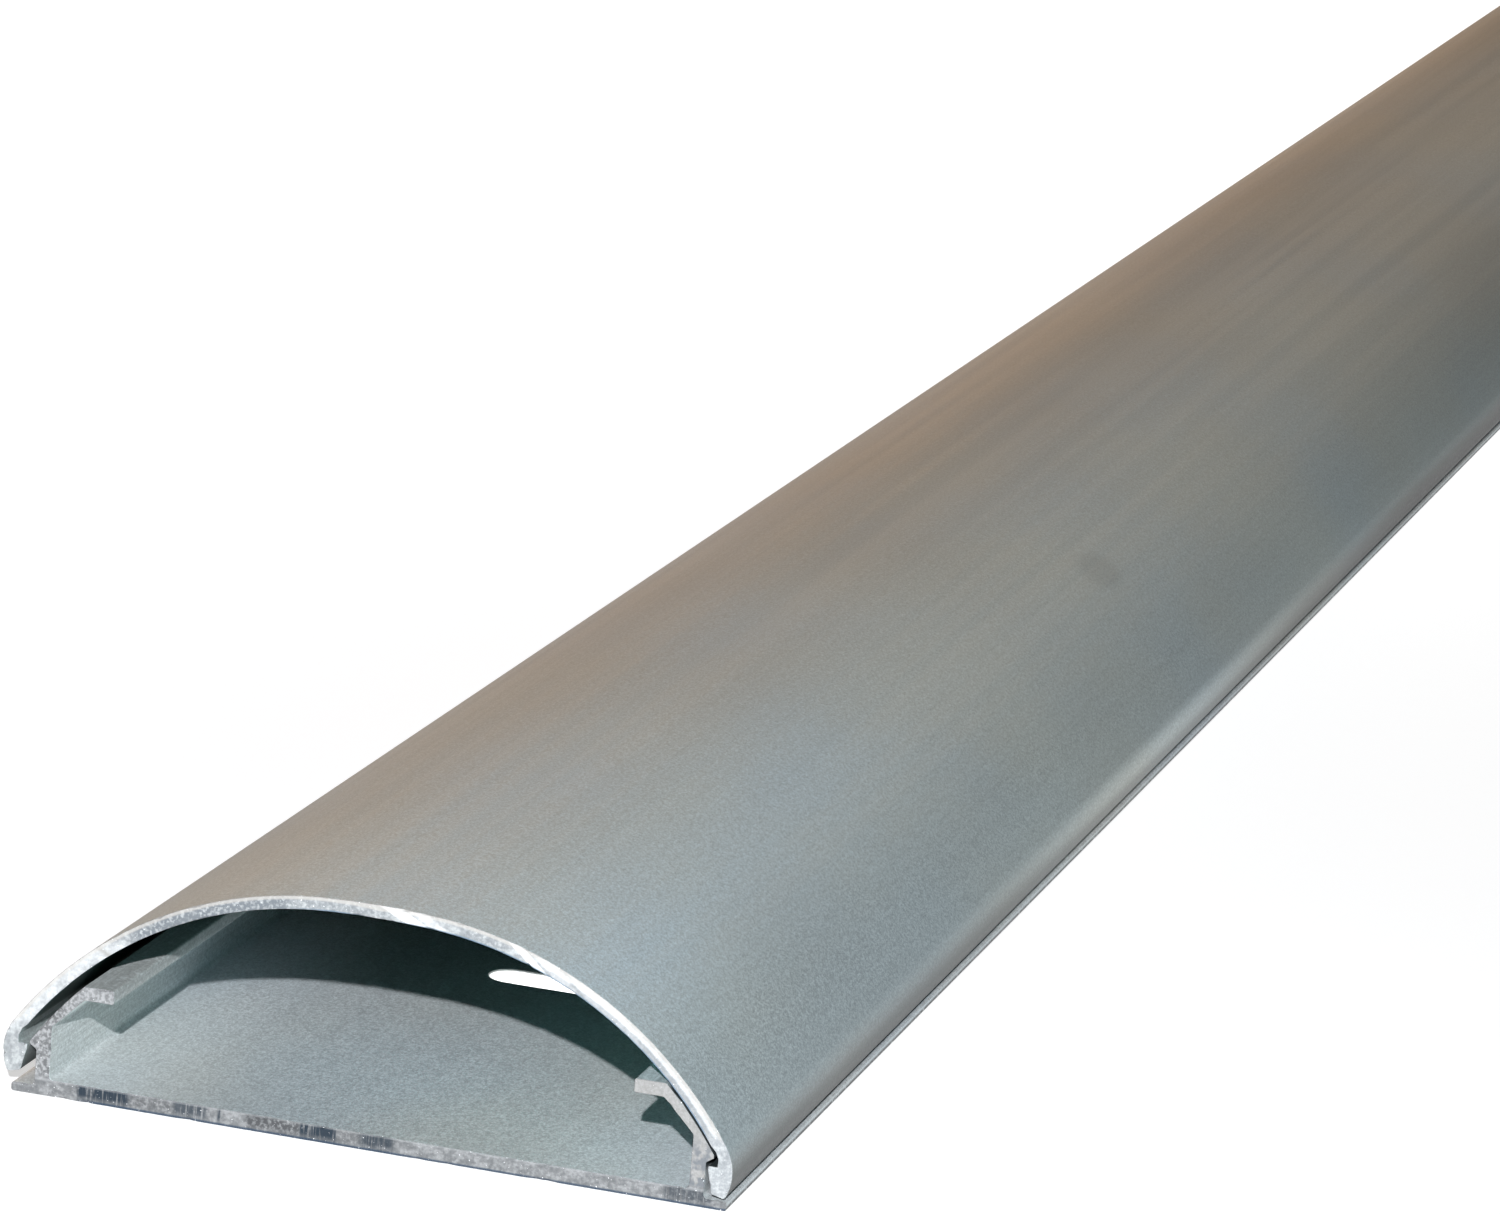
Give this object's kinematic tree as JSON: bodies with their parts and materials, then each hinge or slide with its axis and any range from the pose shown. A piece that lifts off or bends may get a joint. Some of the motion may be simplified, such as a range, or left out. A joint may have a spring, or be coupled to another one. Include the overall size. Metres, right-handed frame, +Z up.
{
  "type": "cable raceway",
  "caption": "Straight length of aluminium cable raceway: a flat base rail with screw slots and lipped walls, and an arched cover that snaps over it.",
  "frame": {"origin": "Middle of the base rail's underside, halfway along the length, on the surface that the raceway lies on.", "axes": "X runs across the width, Y along the length and Z up. The end at -Y is the cut end that the picture shows, and the cover's edge at -X is the one that stands a little open."},
  "size_m": [0.0815, 1, 0.0269],
  "materials": {
    "base_aluminium": "satin natural anodised aluminium with fine lengthwise extrusion lines; bright saw-cut end faces",
    "cover_aluminium": "satin natural anodised aluminium with a fine matt grain; bright saw-cut end faces"
  },
  "bodies": {
    "root": {"base_rail": "base_aluminium", "snap_cover": "cover_aluminium"}
  },
  "joints": []
}
